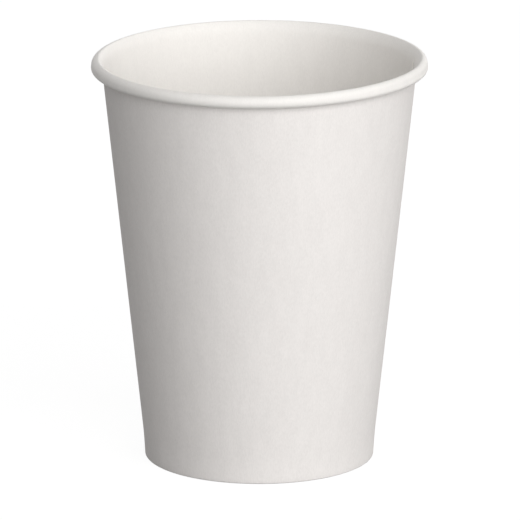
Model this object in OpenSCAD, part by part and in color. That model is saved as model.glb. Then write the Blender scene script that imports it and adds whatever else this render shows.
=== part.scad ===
// Paper cup for hot drinks, single wall, drawn in millimetres as it stands on a table.
// The sidewall is one fan-shaped blank of coated board wrapped into a cone. Its lapped side
// seam, its rolled rim and the hem folded up inside its foot are all the same sheet.
// The base is a second blank: a disc whose skirt is turned down and held in the fold of the hem.

/* [Cup] */
// Height from the table to the top of the rolled rim
cup_h = 109.8; // [80:0.2:160]
// Diameter over the outside of the rolled rim
rim_d = 90; // [80:0.5:105]
// Outer diameter of the wall where it turns under at the foot
foot_d = 61.7; // [50:0.1:70]
// Thickness of the sidewall board
wall_t = 0.35; // [0.25:0.01:0.45]

/* [Rolled rim] */
// Width of the roll where the lip starts to flare, from the inside of the cup to the outside
curl_w = 3.3; // [3:0.1:4]
// Height of the roll, and of the flared lip inside it
curl_h = 3.4; // [3.2:0.1:4]
// Outer radius of the tight corner between the lip and the top
lip_r = 0.5; // [0.45:0.05:0.7]
// Fall of the crown from level where it starts at the tight corner
crown_fall = 10; // [2:1:20]
// Outer radius of the crown, the wide bend over the top of the roll
crown_r = 1.75; // [1.5:0.05:1.9]
// Outer radius of the roll's lower bend on the outside
under_r = 1.3; // [0.8:0.05:1.4]
// Angle of the arc over which the sheet's end runs up again behind the lip
tail_turn = 18; // [4:1:20]
// Air between the lip and the sheet's end behind it
turn_gap = 0.06; // [0.03:0.01:0.15]

/* [Side seam] */
// Width over which the two edges of the blank lap
lap_w = 7; // [5:0.5:10]
// Step that the outer edge of the lap still makes after pressing
lap_t = 0.25; // [0.15:0.01:0.35]
// Width of the slope where the sheet climbs on to the lap
ramp_w = 2; // [1:0.25:3]
// Direction of the seam, turned from the right-hand side towards the back
seam_turn = 16; // [0:1:359]

/* [Foot and hem] */
// Height of the hem folded up inside the foot
hem_h = 6; // [4:0.5:10]
// Lean of the pressed foot band that the hem backs, from upright
band_lean = 3.6; // [0:0.2:6]
// Radius inside each corner of the fold
fold_in_r = 0.06; // [0.02:0.01:0.1]
// Number of knurl grooves pressed round the hem
knurl_count = 96; // [48:4:120]
// Depth of a knurl groove
knurl_depth = 0.1; // [0.04:0.01:0.15]
// Radius of the knurling tooth
knurl_r = 0.6; // [0.3:0.05:0.8]
// Plain margin above and below the knurl
knurl_margin = 1; // [0.6:0.1:1.5]

/* [Base disc] */
// Thickness of the base board
base_t = 0.28; // [0.22:0.01:0.4]
// Room between the top of the hem and the underside of the disc
disc_rise = 2; // [1.5:0.25:5]
// Outer radius of the bend from the disc into its skirt
bend_r = 0.9; // [0.6:0.1:1.4]
// Clearance on each side of the skirt, taken up by the seal
seal_gap = 0.03; // [0.02:0.01:0.08]
// Clearance between the skirt's lower edge and the bottom of the fold
skirt_gap = 0.3; // [0.1:0.1:1]

/* [Hidden] */

BOARD = "#efebe5";
INSIDE = "#e9e5df";

// Angle between neighbouring points on a bend of the sheet
bend_step = 9;
// Facets round the cup in previews
$fn = 180;

// Unit vector at an angle from the radius, and the angle of a vector
function heading(a) = [cos(a), sin(a)];
function angle_of(v) = atan2(v[1], v[0]);

// Points on an arc of the section, from angle a0 to angle a1
function bend(centre, r, a0, a1) =
    let (steps = ceil(abs(a1 - a0) / bend_step))
    [for (k = [0:steps]) centre + r * heading(a0 + (a1 - a0) * k / steps)];

// The same arc without its first point, for a bend that starts where the last one ended
function next_bend(centre, r, a0, a1) =
    let (points = bend(centre, r, a0, a1))
    [for (k = [1:len(points) - 1]) points[k]];

// Unit normal on the left of the stretch from p to q
function left_of(p, q) = [p[1] - q[1], q[0] - p[0]] / norm(q - p);

// Offset of point k of a path: the mean of its two normals, lengthened to keep the thickness
function shift_at(path, k, d) =
    let (last = len(path) - 1)
    let (before = left_of(path[max(k - 1, 0)], path[max(k, 1)]))
    let (after = left_of(path[min(k, last - 1)], path[min(k + 1, last)]))
    path[k] + (before + after) * d / (1 + before * after);

// Section of a sheet along a path, from distance near to distance far on its left
function sheet(path, near, far) =
    let (last = len(path) - 1)
    concat(
        [for (k = [0:last]) shift_at(path, k, far)],
        [for (k = [last:-1:0]) shift_at(path, k, near)]
    );

// Fold at the foot: two corners with a flat land between them, on which the cup stands.
// The stack is the wall, the skirt and the hem, one inside the other.
fold_r = wall_t + fold_in_r;
stack = 2 * wall_t + base_t + 2 * seal_gap;
outer_corner = [foot_d / 2 - fold_r * cos(band_lean), fold_r];
inner_corner = outer_corner - [(stack - 2 * fold_r) / cos(band_lean), 0];

// Points on the middle of the sheet where the foot band meets the cone and where the hem ends
mid_r = fold_r - wall_t / 2;
band_foot = outer_corner + mid_r * heading(-band_lean);
hem_foot = inner_corner - mid_r * heading(-band_lean);
knee = band_foot + (hem_h - band_foot[1]) * [tan(band_lean), 1];
hem_end = hem_foot + (hem_h - hem_foot[1]) * [tan(band_lean), 1];

// The cone runs straight from the knee to the lip
wall_top = [rim_d / 2 - curl_w + wall_t / 2, cup_h - curl_h];
wall_lean = atan2(wall_top[0] - knee[0], wall_top[1] - knee[1]);

// Crown and tight corner: the corner's bend touches the crown's from inside
crown_run = crown_r - lip_r;
crown_centre = [rim_d / 2 - crown_r, cup_h - lip_r - crown_run * cos(crown_fall)];
lip_corner = crown_centre + crown_run * heading(90 - crown_fall);

// Lip: an arc that leaves the cone smoothly and runs smoothly into the tight corner
lip_mid_r = lip_r - wall_t / 2;
lip_reach = lip_corner - wall_top;
flare_r = (lip_reach * lip_reach - lip_mid_r * lip_mid_r)
    / (2 * (lip_reach * heading(-wall_lean) - lip_mid_r));
flare_centre = wall_top + flare_r * heading(-wall_lean);
flare_end = angle_of(lip_corner - flare_centre);

// Lower bend of the roll, straight below the crown's outside
under_centre = [rim_d / 2 - under_r, cup_h - curl_h + under_r];

// Tail of the sheet: under the roll, back to the lip and up behind it, one gap away. The tight
// bend at the heel touches the tail's arc from inside.
tail_r = flare_r - wall_t - turn_gap;
heel_mid_r = wall_t;
heel_z = cup_h - curl_h + wall_t / 2 + heel_mid_r;
heel_run = sqrt(pow(tail_r - heel_mid_r, 2) - pow(heel_z - flare_centre[1], 2));
heel_centre = [flare_centre[0] - heel_run, heel_z];
heel_end = angle_of(heel_centre - flare_centre);

// Middle line of the whole sidewall blank, from the end of the hem to the end of the roll
foot_path = concat(
    [hem_end],
    bend(inner_corner, mid_r, -180 - band_lean, -90),
    bend(outer_corner, mid_r, -90, -band_lean),
    [knee]
);
roll_path = concat(
    bend(flare_centre, flare_r, 180 - wall_lean, flare_end),
    next_bend(lip_corner, lip_mid_r, flare_end, 90),
    next_bend(lip_corner, lip_mid_r, 90, 90 - crown_fall),
    next_bend(crown_centre, crown_r - wall_t / 2, 90 - crown_fall, 0),
    bend(under_centre, under_r - wall_t / 2, 0, -90),
    bend(heel_centre, heel_mid_r, 270, heel_end),
    next_bend(flare_centre, tail_r, heel_end, heel_end - tail_turn)
);
sidewall_path = concat(foot_path, roll_path);

// Middle line of the base blank: level to the bend, then down inside the wall
disc_z = hem_h + disc_rise;
inset = (wall_t + base_t) / 2 + seal_gap;
base_mid_r = bend_r - base_t / 2;
bend_z = disc_z + base_t - bend_r;
bend_centre = [
    knee[0] - inset / cos(wall_lean) + (bend_z - knee[1]) * tan(wall_lean)
        - base_mid_r / cos(wall_lean),
    bend_z
];
skirt_knee = shift_at([band_foot, knee, wall_top], 1, inset);
skirt_end_z = wall_t + skirt_gap;
skirt_end = skirt_knee - (skirt_knee[1] - skirt_end_z) * [tan(band_lean), 1];
base_path = concat(
    [[0, disc_z + base_t / 2]],
    bend(bend_centre, base_mid_r, 90, -wall_lean),
    [skirt_knee, skirt_end]
);

// Seam: how far a point at distance y from the seam's middle falls away from the flat. It is
// reckoned on the hem's inside, so that the slopes run out inside the wall at every height.
seam_r = foot_d / 2 - stack;
function sag(y) = y * y / (2 * seam_r);
ramp_start = -lap_w / 2 - ramp_w;
ramp_end = -lap_w / 2;
ramp_slope = (lap_t - sag(ramp_end) + sag(ramp_start)) / ramp_w;

// How deep the lap's sheet reaches into the wall below it, and how far a cutting profile
// stands clear of what it cuts
bury = wall_t / 2;
clear = 1;

// Places a profile, drawn square to the wall, along the wall under the roll
module along_wall(from_z, to_z) {
    rise = 1 / cos(wall_lean);
    translate([wall_top[0], 0, wall_top[1]])
        rotate([0, wall_lean, 0])
            translate([wall_t / 2, 0, (from_z - wall_top[1]) * rise])
                linear_extrude((to_z - from_z) * rise)
                    children();
}

// The sheet that lies outside in the lap: square at one edge, running out in a slope at the other
module lap() {
    lap_path = concat(bend(outer_corner, mid_r, -90, -band_lean), [knee, wall_top]);
    difference() {
        intersection() {
            rotate_extrude()
                polygon(sheet(lap_path, -wall_t / 2 + bury, -wall_t / 2 - lap_t));
            translate([0, ramp_start, 0])
                cube([rim_d, ramp_w + lap_w, cup_h]);
        }
        along_wall(-clear, cup_h)
            polygon([
                [-sag(ramp_start) - clear * ramp_slope, ramp_start - clear],
                [lap_t - sag(ramp_end), ramp_end],
                [lap_t + clear, ramp_end],
                [lap_t + clear, ramp_start - clear]
            ]);
    }
}

// Groove inside the cup beside the inner edge of the lap, where the sheet climbs over it
module lap_groove() {
    along_wall(disc_z, cup_h)
        polygon([
            [-wall_t - sag(ramp_start), ramp_start],
            [-wall_t + lap_t - sag(ramp_end), ramp_end],
            [-wall_t - clear, ramp_end],
            [-wall_t - clear, ramp_start]
        ]);
}

// Grooves that the knurling tool presses into the hem
module knurl() {
    face_r = hem_foot[0] - wall_t / 2 / cos(band_lean) - hem_foot[1] * tan(band_lean);
    for (k = [0:knurl_count - 1])
        rotate(k * 360 / knurl_count)
            translate([face_r, 0, 0])
                rotate([0, band_lean, 0])
                    translate([knurl_depth - knurl_r, 0, knurl_margin])
                        cylinder(h = hem_h - 2 * knurl_margin, r = knurl_r, $fn = 32);
}

// Sidewall: one sheet from the hem, round the fold and up the cone into the rolled rim
module sidewall() {
    color(BOARD)
        difference() {
            union() {
                rotate_extrude()
                    polygon(sheet(sidewall_path, -wall_t / 2, wall_t / 2));
                rotate(seam_turn)
                    lap();
            }
            rotate(seam_turn)
                lap_groove();
            knurl();
        }
}

// Base: a disc with its skirt turned down
module base_disc() {
    color(INSIDE)
        rotate_extrude()
            polygon(sheet(base_path, -base_t / 2, base_t / 2));
}

sidewall();
base_disc();
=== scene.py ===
import math

import bpy
import numpy as np
from mathutils import Matrix, Vector


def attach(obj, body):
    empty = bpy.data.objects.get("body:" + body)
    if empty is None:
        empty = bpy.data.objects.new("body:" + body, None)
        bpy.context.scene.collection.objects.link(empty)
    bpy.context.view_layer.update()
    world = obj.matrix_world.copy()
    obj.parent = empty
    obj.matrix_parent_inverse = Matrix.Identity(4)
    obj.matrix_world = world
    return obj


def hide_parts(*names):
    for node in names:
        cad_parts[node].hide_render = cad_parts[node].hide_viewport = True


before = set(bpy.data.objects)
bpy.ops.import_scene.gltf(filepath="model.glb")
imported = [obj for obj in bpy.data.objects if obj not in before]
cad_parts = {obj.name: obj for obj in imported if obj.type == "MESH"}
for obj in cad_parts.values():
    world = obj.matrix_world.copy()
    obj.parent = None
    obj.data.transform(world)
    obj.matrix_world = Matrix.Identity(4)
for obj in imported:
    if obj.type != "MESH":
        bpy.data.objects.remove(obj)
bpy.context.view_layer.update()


# The room is a plain studio: a level table top and white air around it. The camera stands far
# back with a long lens, so the cup's sides keep their true taper, and looks down on it a little.
MM = 0.001
cup_h = 109.8 * MM
camera_distance = 2190.6 * MM
camera_rise = math.radians(14.857)
camera_roll = math.radians(0.037)
pivot_z = 55.0 * MM
aim_drop = 1.23 * MM
aim_right = 0.17 * MM
lens_mm = 564.0
sensor_mm = 36.0
camera_reach = 100.0

aim = Vector((aim_right, 0.0, pivot_z - aim_drop))
stand = Vector((0.0, -math.cos(camera_rise), math.sin(camera_rise))) * camera_distance
camera_data = bpy.data.cameras.new("camera")
camera_data.lens = lens_mm
camera_data.sensor_width = sensor_mm
camera_data.clip_end = camera_reach
camera = bpy.data.objects.new("camera", camera_data)
camera.location = stand + Vector((0.0, 0.0, pivot_z))
turn = (aim - camera.location).to_track_quat("-Z", "Y").to_matrix().to_4x4()
camera.rotation_euler = (turn @ Matrix.Rotation(camera_roll, 4, "Z")).to_euler()
bpy.context.collection.objects.link(camera)
bpy.context.scene.camera = camera


def add_node(tree, kind, settings=None, **inputs):
    """Adds a node, sets its properties, and sets or links each input, by its name or as _number."""
    node = tree.nodes.new(kind)
    for name, value in (settings or {}).items():
        setattr(node, name, value)
    for name, value in inputs.items():
        socket = node.inputs[int(name[1:])] if name[0] == "_" else node.inputs[name.replace("_", " ")]
        if isinstance(value, bpy.types.NodeSocket):
            tree.links.new(value, socket)
        else:
            socket.default_value = value
    return node


def linear(hex_colour):
    """Linear RGBA of an sRGB hex colour: the standard curve, with its straight part near black."""
    parts = np.array([int(hex_colour[k:k + 2], 16) / 255 for k in (1, 3, 5)])
    curve = np.where(parts <= 0.04045, parts / 12.92, ((parts + 0.055) / 1.055) ** 2.4)
    return (*curve, 1.0)


def seen_outright(tree):
    """Socket that is 1 for what the camera sees, also in gloss or through a clear thing, and 0 for
    what only lights other things: the largest of the three ray flags."""
    ray = add_node(tree, "ShaderNodeLightPath")
    seen = ray.outputs["Is Camera Ray"]
    for flag in ("Is Glossy Ray", "Is Transmission Ray"):
        larger = add_node(tree, "ShaderNodeMath", {"operation": "MAXIMUM"}, _0=seen, _1=ray.outputs[flag])
        seen = larger.outputs[0]
    return seen


# Seamless white air: what the camera and the gloss see is white, and what lights the cup is dimmer.
air_seen = 1.0
air_light = 0.288
world = bpy.data.worlds.new("studio_air")
bpy.context.scene.world = world
world.use_nodes = True
tree = world.node_tree
tree.nodes.clear()
strength = add_node(tree, "ShaderNodeMapRange", None, Value=seen_outright(tree),
                    To_Min=air_light, To_Max=air_seen)
air = add_node(tree, "ShaderNodeBackground", None, Color=linear("#ffffff"), Strength=strength.outputs[0])
add_node(tree, "ShaderNodeOutputWorld", None, Surface=air.outputs[0])
bpy.context.scene.view_settings.view_transform = "Standard"

# Table top: pale grey laminate, lit from above. To the camera it glows towards white, and it keeps
# a part of its own shading, so the cup's soft shadow stays on it.
table_side = 12.0
table_grey = "#959595"
table_glow = 0.90
table_shading = 0.6
half = table_side / 2
corners = [(-half, -half, 0), (half, -half, 0), (half, half, 0), (-half, half, 0)]
mesh = bpy.data.meshes.new("table_top")
mesh.from_pydata(corners, [], [(0, 1, 2, 3)])
table_top = bpy.data.objects.new("table_top", mesh)
bpy.context.collection.objects.link(table_top)
material = bpy.data.materials.new("pale_laminate")
material.use_nodes = True
tree = material.node_tree
tree.nodes.clear()
grey = linear(table_grey)
dimmed_grey = (*(table_shading * np.array(grey[:3])), 1.0)
own = add_node(tree, "ShaderNodeBsdfDiffuse", None, Color=grey)
dimmed = add_node(tree, "ShaderNodeBsdfDiffuse", None, Color=dimmed_grey)
glow = add_node(tree, "ShaderNodeEmission", None, Color=linear("#ffffff"), Strength=table_glow)
shown = add_node(tree, "ShaderNodeAddShader", None, _0=dimmed.outputs[0], _1=glow.outputs[0])
mix = add_node(tree, "ShaderNodeMixShader", None, _0=seen_outright(tree),
               _1=own.outputs[0], _2=shown.outputs[0])
add_node(tree, "ShaderNodeOutputMaterial", None, Surface=mix.outputs[0])
mesh.materials.append(material)

# Lamps: one wide softbox in front, to the right and above, and two weak ones behind the cup, which
# reach over the rim into it. The left side gets little more than the air.
key_turn = math.radians(27.0)
key_rise = math.radians(23.0)
key_wide = 1.9
key_tall = 1.0
key_power = 17.9
rear_turn = math.radians(150.0)
rear_rise = math.radians(20.0)
rear_side = 1.0
rear_right_power = 3.8
rear_left_power = 2.2
lamp_distance = 1.3


def softbox(name, turn_right, rise, wide, tall, power):
    """A softbox that faces the middle of the cup from lamp_distance, placed by its turn to the
    right of the camera and its rise above level."""
    data = bpy.data.lights.new(name, "AREA")
    data.shape = "RECTANGLE"
    data.size = wide
    data.size_y = tall
    data.energy = power
    level = math.cos(rise)
    way = Vector((math.sin(turn_right) * level, -math.cos(turn_right) * level, math.sin(rise)))
    lamp_object = bpy.data.objects.new(name, data)
    lamp_object.location = way * lamp_distance + Vector((0.0, 0.0, pivot_z))
    lamp_object.rotation_euler = (-way).to_track_quat("-Z", "Y").to_euler()
    bpy.context.collection.objects.link(lamp_object)


softbox("key_softbox", key_turn, key_rise, key_wide, key_tall, key_power)
softbox("rear_right_softbox", rear_turn, rear_rise, rear_side, rear_side, rear_right_power)
softbox("rear_left_softbox", -rear_turn, rear_rise, rear_side, rear_side, rear_left_power)


# Sidewall: one fan-shaped blank of coated cupstock, about 280 g/m2, wrapped into a cone. Its edges
# lap at the side and are melted together, its top edge is rolled outwards over hot tooling into
# the rim, and its foot is folded in and up round the base's skirt and knurled.
rim_r = 45.0 * MM
foot_r = 30.85 * MM
wall_t = 0.35 * MM
base_t = 0.28 * MM
seal_gap = 0.03 * MM
fold_in_r = 0.06 * MM
hem_h = 6.0 * MM
band_lean = math.radians(3.6)
curl_w = 3.3 * MM
curl_h = 3.4 * MM
lip_r = 0.5 * MM
crown_fall = math.radians(10.0)
crown_r = 1.75 * MM
under_r = 1.3 * MM
tail_turn = math.radians(18.0)
turn_gap = 0.06 * MM
knee_reach = 2.0 * MM
seam_turn = math.radians(16.0)
lap_w = 7.0 * MM
lap_t = 0.25 * MM
ramp_w = 2.0 * MM
knurl_count = 96
knurl_depth = 0.1 * MM
knurl_margin = 1.0 * MM
knurl_fade = 0.5 * MM


def stretch(start, heading, length, turn, count):
    """Points of a stretch of the section that turns evenly, and their headings: straight where the
    turn is zero, and otherwise an arc of radius length over turn."""
    part = np.linspace(0.0, 1.0, count)
    headings = heading + turn * part
    if turn == 0:
        points = start + np.outer(length * part, [math.cos(heading), math.sin(heading)])
    else:
        radius = length / turn
        points = start + radius * np.column_stack(
            [np.sin(headings) - math.sin(heading), math.cos(heading) - np.cos(headings)])
    return points, headings


def walk(start, heading, steps):
    """Middle line of a sheet in section, as radius and height, and its headings: the steps
    (length, turn, count) are joined end to end, each starting where and as the last one stopped."""
    line, headings = [np.array([start])], [np.array([heading])]
    for length, turn, count in steps:
        points, angles = stretch(line[-1][-1], headings[-1][-1], length, turn, count + 1)
        line.append(points[1:])
        headings.append(angles[1:])
    return np.concatenate(line), np.concatenate(headings)


# The fold's two corners, the foot band between them and the knee, and the hem behind it
fold_r = wall_t + fold_in_r
mid_r = fold_r - wall_t / 2
stack = 2 * wall_t + base_t + 2 * seal_gap
corner_gap = (stack - 2 * fold_r) / math.cos(band_lean)
outer_corner = np.array([foot_r - fold_r * math.cos(band_lean), fold_r])
inner_corner = outer_corner - [corner_gap, 0.0]
across = np.array([math.cos(band_lean), -math.sin(band_lean)])
upward = np.array([math.tan(band_lean), 1.0])
band_foot = outer_corner + mid_r * across
hem_foot = inner_corner - mid_r * across
knee = band_foot + (hem_h - band_foot[1]) * upward
hem_end = hem_foot + (hem_h - hem_foot[1]) * upward
wall_top = np.array([rim_r - curl_w + wall_t / 2, cup_h - curl_h])
wall_lean = math.atan2(*(wall_top - knee))
knee_turn = wall_lean - band_lean
knee_arc = knee_reach / math.tan(knee_turn / 2) * knee_turn
quarter = math.pi / 2

# The rolled rim: the lip flares from the wall in an arc and turns a tight corner on to the crown,
# which falls outwards from it in a wide bend. A flat side and a lower bend lead back to the lip,
# where the tail runs up again one gap behind it, after a tight bend that touches its arc.
lip_mid_r = lip_r - wall_t / 2
crown_centre = np.array([rim_r - crown_r, cup_h - lip_r - (crown_r - lip_r) * math.cos(crown_fall)])
lip_corner = crown_centre + (crown_r - lip_r) * np.array([math.sin(crown_fall), math.cos(crown_fall)])
outwards = np.array([math.cos(wall_lean), -math.sin(wall_lean)])
lip_reach = lip_corner - wall_top
flare_r = (lip_reach @ lip_reach - lip_mid_r ** 2) / (2 * (lip_reach @ outwards - lip_mid_r))
flare_centre = wall_top + flare_r * outwards
crown_mid_r = crown_r - wall_t / 2
under_mid_r = under_r - wall_t / 2
lip_turn = quarter - math.atan2(lip_corner[1] - flare_centre[1], flare_centre[0] - lip_corner[0])
tail_r = flare_r - wall_t - turn_gap
heel_mid_r = wall_t
heel_rise = cup_h - curl_h + wall_t / 2 + heel_mid_r - flare_centre[1]
heel_run = math.sqrt((tail_r - heel_mid_r) ** 2 - heel_rise ** 2)
heel_turn = quarter + math.atan2(heel_rise, heel_run)

# The blank in section, from the cut edge of the hem to the cut edge inside the roll: the length
# of each stretch, its turn, and how many rows of the mesh it gets
sheet_steps = {
    "hem": (np.linalg.norm(hem_end - hem_foot), 0.0, 9),
    "inner corner": (mid_r * (quarter + band_lean), quarter + band_lean, 5),
    "land": (corner_gap, 0.0, 1),
    "outer corner": (mid_r * (quarter - band_lean), quarter - band_lean, 5),
    "foot band": (np.linalg.norm(knee - band_foot) - knee_reach, 0.0, 3),
    "knee": (knee_arc, -knee_turn, 4),
    "cone": (np.linalg.norm(wall_top - knee) - knee_reach, 0.0, 10),
    "flare": (flare_r * (quarter - lip_turn - wall_lean), lip_turn + wall_lean - quarter, 10),
    "lip": (lip_mid_r * (lip_turn + crown_fall), -lip_turn - crown_fall, 7),
    "crown": (crown_mid_r * (quarter - crown_fall), crown_fall - quarter, 9),
    "side": (crown_centre[1] - cup_h + curl_h - under_r, 0.0, 2),
    "lower bend": (under_mid_r * quarter, -quarter, 7),
    "underside": (rim_r - under_r - flare_centre[0] + heel_run, 0.0, 2),
    "heel": (heel_mid_r * heel_turn, -heel_turn, 6),
    "tail": (tail_r * tail_turn, -tail_turn, 5),
}
line, headings = walk(hem_end, -quarter - band_lean, sheet_steps.values())
left = np.column_stack([-np.sin(headings), np.cos(headings)])
first_rows = np.cumsum([0] + [count for length, turn, count in sheet_steps.values()])
starts = dict(zip(sheet_steps, first_rows))


def smooth(value, low, high):
    """Smooth step: 0 below low, 1 above high, and 3u^2 - 2u^3 of the way u between them."""
    part = np.clip((value - low) / (high - low), 0.0, 1.0)
    return part * part * (3 - 2 * part)


# Columns round the cup: even far from the seam, and crowded at the edges of the lap, where they
# keep their distance from the seam's middle line at every height, as the blank's cut edges do.
# An even column closer to an edge than edge_clear of the spacing gives way to the crowded ones.
column_count = 576
edge_crowd = 0.012 * MM
edge_clear = 0.4
seam_near = 8.0 * MM
seam_far = 40.0 * MM
mean_r = (knee[0] + wall_top[0]) / 2
evenly = (np.arange(column_count) / column_count - 0.5) * 2 * math.pi * mean_r
edges = np.array([-lap_w / 2 - ramp_w, -lap_w / 2, lap_w / 2])
crowded = np.concatenate([edges - edge_crowd, edges + edge_crowd])
spacing = 2 * math.pi * mean_r / column_count
near_edge = np.min(np.abs(evenly[:, None] - edges[None, :]), axis=1) < edge_clear * spacing
apart = np.sort(np.concatenate([evenly[~near_edge], crowded]))


def column_angles(radius):
    """Angle of every column at each radius: distance from the seam over the radius close to it,
    and over the mean radius far from it."""
    close = 1 - smooth(np.abs(apart), seam_near, seam_far)
    by_radius = apart[None, :] / radius[:, None]
    by_mean = apart[None, :] / mean_r
    return seam_turn + close[None, :] * by_radius + (1 - close[None, :]) * by_mean


# How far the sheet stands proud outside and is sunk inside, across the lap
lap_step = lap_t * (smooth(apart, edges[0], edges[1]) - (apart > edges[2]))
groove = lap_t * np.where(apart < edges[1], np.clip((apart - edges[0]) / ramp_w, 0, 1), 0.0)

# Where along the blank each form applies, by rows of the mesh: the lap's step and groove run out
# at the fold and in the roll, the knurl at the hem's ends, and the warps at theirs
groove_in_rows = 2
groove_out_rows = 5
knurl_top = hem_h - knurl_margin
place = np.arange(len(line))
height = line[:, 1]
on_wall = smooth(place, starts["outer corner"], starts["foot band"]) * (place <= starts["flare"])
inside_wall = smooth(place, starts["knee"], starts["knee"] + groove_in_rows)
inside_wall = inside_wall * (1 - smooth(place, starts["flare"], starts["flare"] + groove_out_rows))
on_knurl = (place < starts["inner corner"]) * smooth(height, knurl_margin, knurl_margin + knurl_fade)
on_knurl = on_knurl * (1 - smooth(height, knurl_top - knurl_fade, knurl_top))
on_lip = smooth(place, starts["flare"], starts["lip"])
on_lip = on_lip * (1 - smooth(place, starts["crown"], starts["side"]))
along_under = np.clip((place - starts["side"]) / (starts["heel"] - starts["side"]), 0, 1)
on_under = np.sin(math.pi * along_under) ** 2

# The rim of the real cup isn't quite round or level, because board gives: sizes in mm of waves
# that go once, twice and three times round. The lift and the spread fade out towards the foot with
# the square of the height. The lip leans, and the roll's underside bulges, more on some sides.
rim_lift = {"cos1": -0.07, "cos2": 0.055, "sin2": -0.086, "sin3": -0.061}
rim_spread = {"cos2": -0.054, "sin2": 0.5}
lip_lean = {"cos1": 0.22}
under_bulge = {"cos0": 0.05, "cos1": 0.07, "cos2": 0.2}


def wave_sum(waves, angle):
    """Sum of the waves: each size times the cosine or sine of so many times the angle."""
    total = np.zeros_like(angle)
    for name, size in waves.items():
        wave = np.cos if name[:3] == "cos" else np.sin
        total += size * MM * wave(int(name[3]) * angle)
    return total


def ring_surface(section_r, section_z, angle):
    """Points of a surface carried round the cup's axis: radius times cosine and sine of the
    angle, with the rim's spread and lift added in proportion to the square of the height."""
    fade = (section_z / cup_h) ** 2
    radius = section_r + fade * wave_sum(rim_spread, angle)
    lifted = section_z + fade * wave_sum(rim_lift, angle)
    return np.stack([radius * np.cos(angle), radius * np.sin(angle), lifted], axis=-1)


# Edges that turn by more than this stay sharp in the shading: the sheet's cut edges
sharp_angle = math.radians(50.0)


def new_piece(name, vertices, faces, materials, face_materials):
    """Object of these vertices and faces, smooth but for its sharp edges, with the material index
    of each face."""
    mesh = bpy.data.meshes.new(name)
    mesh.from_pydata(vertices, [], faces)
    for material in materials:
        mesh.materials.append(material)
    mesh.polygons.foreach_set("material_index", face_materials.astype(np.int32))
    mesh.polygons.foreach_set("use_smooth", np.ones(len(faces), bool))
    mesh.set_sharp_from_angle(angle=sharp_angle)
    mesh.update()
    piece = bpy.data.objects.new(name, mesh)
    bpy.context.collection.objects.link(piece)
    return piece


def grid_piece(name, points, materials, rows):
    """Piece from a grid of points that closes both ways: quads between neighbours, facing
    outwards, with the material index of each row of quads."""
    down, round_about = points.shape[:2]
    index = np.arange(down * round_about).reshape(down, round_about)
    below = np.roll(index, -1, axis=0)
    quads = np.stack([index, np.roll(index, -1, axis=1), np.roll(below, -1, axis=1), below], axis=-1)
    face_materials = np.repeat(rows, round_about)
    return new_piece(name, points.reshape(-1, 3), quads.reshape(-1, 4), materials, face_materials)


# Outer face from the hem to the roll's end, then the coated face back again. The knurl's grooves
# are as deep as they get where the tooth wave, from 0 to 1 and back, is above knurl_full.
knurl_none = 0.35
knurl_full = 0.95
angle_line = column_angles(line[:, 0])
tooth = 0.5 + 0.5 * np.cos(knurl_count * angle_line)
outward = wall_t / 2 + lap_step[None, :] * on_wall[:, None]
outward = outward - knurl_depth * on_knurl[:, None] * smooth(tooth, knurl_none, knurl_full)
inward = wall_t / 2 - groove[None, :] * inside_wall[:, None]
bulge = on_under[:, None] * wave_sum(under_bulge, angle_line)
lean = on_lip[:, None] * wave_sum(lip_lean, angle_line)
outer_r = line[:, 0, None] - left[:, 0, None] * (outward - bulge) + lean
outer_z = line[:, 1, None] - left[:, 1, None] * (outward - bulge)
coated_r = line[:, 0, None] + left[:, 0, None] * (inward + bulge) + lean
coated_z = line[:, 1, None] + left[:, 1, None] * (inward + bulge)
section_r = np.concatenate([outer_r, coated_r[::-1]])
section_z = np.concatenate([outer_z, coated_z[::-1]])
section_angle = np.concatenate([angle_line, angle_line[::-1]])
sidewall_points = ring_surface(section_r, section_z, section_angle)

# Uncoated bleached board: calendered paper, matte and slightly warm. Its fibres lie mostly along
# the blank's height, about 0.35 mm apart in the render (the real ones are finer) and three times
# as long, and they mat into faint clouds about 3 mm wide and three times as tall.
board_light = "#f7f3f0"
board_dark = "#efebe8"
coat_light = "#f9f6f2"
coat_dark = "#f3f0ec"
cut_light = "#ebe6e1"
cut_dark = "#dfdad4"
fibre_mm = 0.35
fibre_stretch = 1 / 3
fibre_height = 0.016 * MM
fibre_roughness = 0.7
cloud_mm = 3.0
cloud_part = 0.3
cloud_roughness = 0.5
noise_detail = 2.0
drift_low = 0.35
drift_high = 0.65


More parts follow.
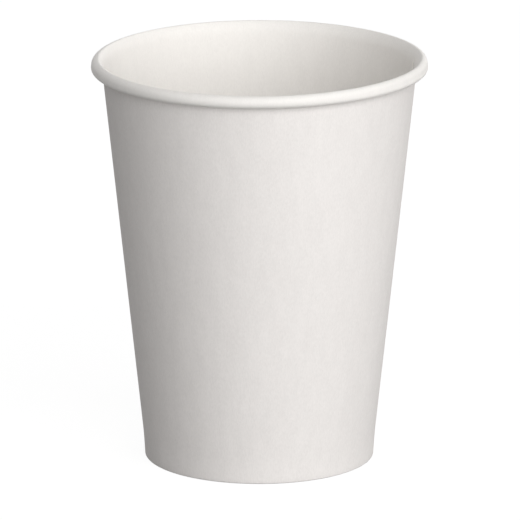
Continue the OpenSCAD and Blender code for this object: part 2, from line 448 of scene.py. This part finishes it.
def paper(name, light, dark, roughness, gloss, bump):
    """Paper whose colour drifts between two near shades, with the fibres raised a little: the
    drift is cloud_part of soft cloud noise and for the rest fine fibre noise."""
    material = bpy.data.materials.new(name)
    material.use_nodes = True
    tree = material.node_tree
    tree.nodes.clear()
    place = add_node(tree, "ShaderNodeTexCoord")
    in_mm = add_node(tree, "ShaderNodeMapping", None, Vector=place.outputs["Object"],
                     Scale=(1 / MM, 1 / MM, fibre_stretch / MM))
    fibres = add_node(tree, "ShaderNodeTexNoise", None, Vector=in_mm.outputs[0],
                      Scale=1 / fibre_mm, Detail=noise_detail, Roughness=fibre_roughness)
    clouds = add_node(tree, "ShaderNodeTexNoise", None, Vector=in_mm.outputs[0],
                      Scale=1 / cloud_mm, Detail=noise_detail, Roughness=cloud_roughness)
    both = add_node(tree, "ShaderNodeMix", None, _0=cloud_part, _2=fibres.outputs[0], _3=clouds.outputs[0])
    drift = add_node(tree, "ShaderNodeMapRange", None, Value=both.outputs[0],
                     From_Min=drift_low, From_Max=drift_high)
    colour = add_node(tree, "ShaderNodeMix", {"data_type": "RGBA"}, _0=drift.outputs[0],
                      _6=linear(dark), _7=linear(light))
    raised = add_node(tree, "ShaderNodeBump", None, Height=fibres.outputs[0], Strength=bump,
                      Distance=fibre_height)
    shader = add_node(tree, "ShaderNodeBsdfPrincipled", None, Base_Color=colour.outputs[2],
                      Roughness=roughness, Specular_IOR_Level=gloss, Normal=raised.outputs[0])
    add_node(tree, "ShaderNodeOutputMaterial", None, Surface=shader.outputs[0])
    return material


matte_board = paper("bleached_cupstock_matte", board_light, board_dark, roughness=0.9, gloss=0.2, bump=0.6)
# The same board under a thin film of polyethylene: the fibres are filled, and it has a soft sheen
coated_board = paper("bleached_cupstock_coated", coat_light, coat_dark, roughness=0.6, gloss=0.3, bump=0.3)
# Cut edge: raw fibres, a little darker
cut_edge = paper("bleached_cupstock_cut_edge", cut_light, cut_dark, roughness=0.95, gloss=0.1, bump=1.0)

# Rows of the outer face are matte, rows of the inner face coated, and the row at each end is cut
sheet_materials = [matte_board, coated_board, cut_edge]
sheet_rows = np.full(2 * len(line), sheet_materials.index(matte_board))
sheet_rows[len(line):] = sheet_materials.index(coated_board)
sheet_rows[[len(line) - 1, -1]] = sheet_materials.index(cut_edge)
sidewall = grid_piece("sidewall_sheet", sidewall_points, sheet_materials, sheet_rows)
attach(sidewall, "root")
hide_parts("sidewall")


# Base disc: a round blank of the same cupstock, coated on top, drawn by a punch into a shallow
# tray that stands upside down, so that its skirt points down into the fold of the sidewall.
disc_rise = 2.0 * MM
bend_r = 0.9 * MM
skirt_gap = 0.3 * MM
skirt_knee = 0.02 * MM
base_columns = 360
disc_z = hem_h + disc_rise
inset = (wall_t + base_t) / 2 + seal_gap
base_mid_r = bend_r - base_t / 2
bend_z = disc_z + base_t - bend_r
bend_x = knee[0] - (inset + base_mid_r) / math.cos(wall_lean) + (bend_z - knee[1]) * math.tan(wall_lean)
upper_skirt = (bend_z - knee[1]) / math.cos(wall_lean)
lower_skirt = (knee[1] - wall_t - skirt_gap) / math.cos(band_lean)

# The tray in section, from its middle to the skirt's lower edge
base_steps = {
    "disc": (bend_x, 0.0, 16),
    "bend": (base_mid_r * (quarter + wall_lean), -quarter - wall_lean, 10),
    "upper skirt": (upper_skirt, 0.0, 2),
    "skirt knee": (skirt_knee, knee_turn, 1),
    "lower skirt": (lower_skirt, 0.0, 3),
}
base_line, base_headings = walk(np.array([0.0, disc_z + base_t / 2]), 0.0, base_steps.values())
base_left = np.column_stack([-np.sin(base_headings), np.cos(base_headings)])
top_face = base_line + base_left * base_t / 2
under_face = base_line - base_left * base_t / 2
ring = np.concatenate([top_face[1:], under_face[:0:-1]])
base_angle = np.linspace(0, 2 * math.pi, base_columns, endpoint=False)[None, :].repeat(len(ring), axis=0)
base_points = ring_surface(ring[:, 0, None], ring[:, 1, None], base_angle)


def disc_piece(name, points, top, under, materials, rows):
    """Piece from rings of points, from the middle of the top to the middle of the underside: quads
    between rings, and a fan of triangles to the middle point at each end."""
    down, round_about = points.shape[:2]
    index = np.arange(down * round_about).reshape(down, round_about)
    beside = np.roll(index, -1, axis=1)
    quads = np.stack([index[:-1], index[1:], beside[1:], beside[:-1]], axis=-1).reshape(-1, 4)
    poles = down * round_about, down * round_about + 1
    top_fan = np.stack([np.full(round_about, poles[0]), index[0], beside[0]], axis=-1)
    under_fan = np.stack([np.full(round_about, poles[1]), beside[-1], index[-1]], axis=-1)
    vertices = np.concatenate([points.reshape(-1, 3), [top, under]])
    faces = quads.tolist() + top_fan.tolist() + under_fan.tolist()
    face_materials = np.repeat(np.concatenate([rows[:-1], rows[[0, -1]]]), round_about)
    return new_piece(name, vertices, faces, materials, face_materials)


# The top is coated down to the skirt's edge, and the edge and the underside are matte
base_materials = [coated_board, matte_board]
base_rows = np.full(len(ring), base_materials.index(coated_board))
base_rows[len(top_face) - 1:] = base_materials.index(matte_board)
base = disc_piece("base_tray", base_points, (0, 0, top_face[0, 1]), (0, 0, under_face[0, 1]),
                  base_materials, base_rows)
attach(base, "root")
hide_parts("base_disc")
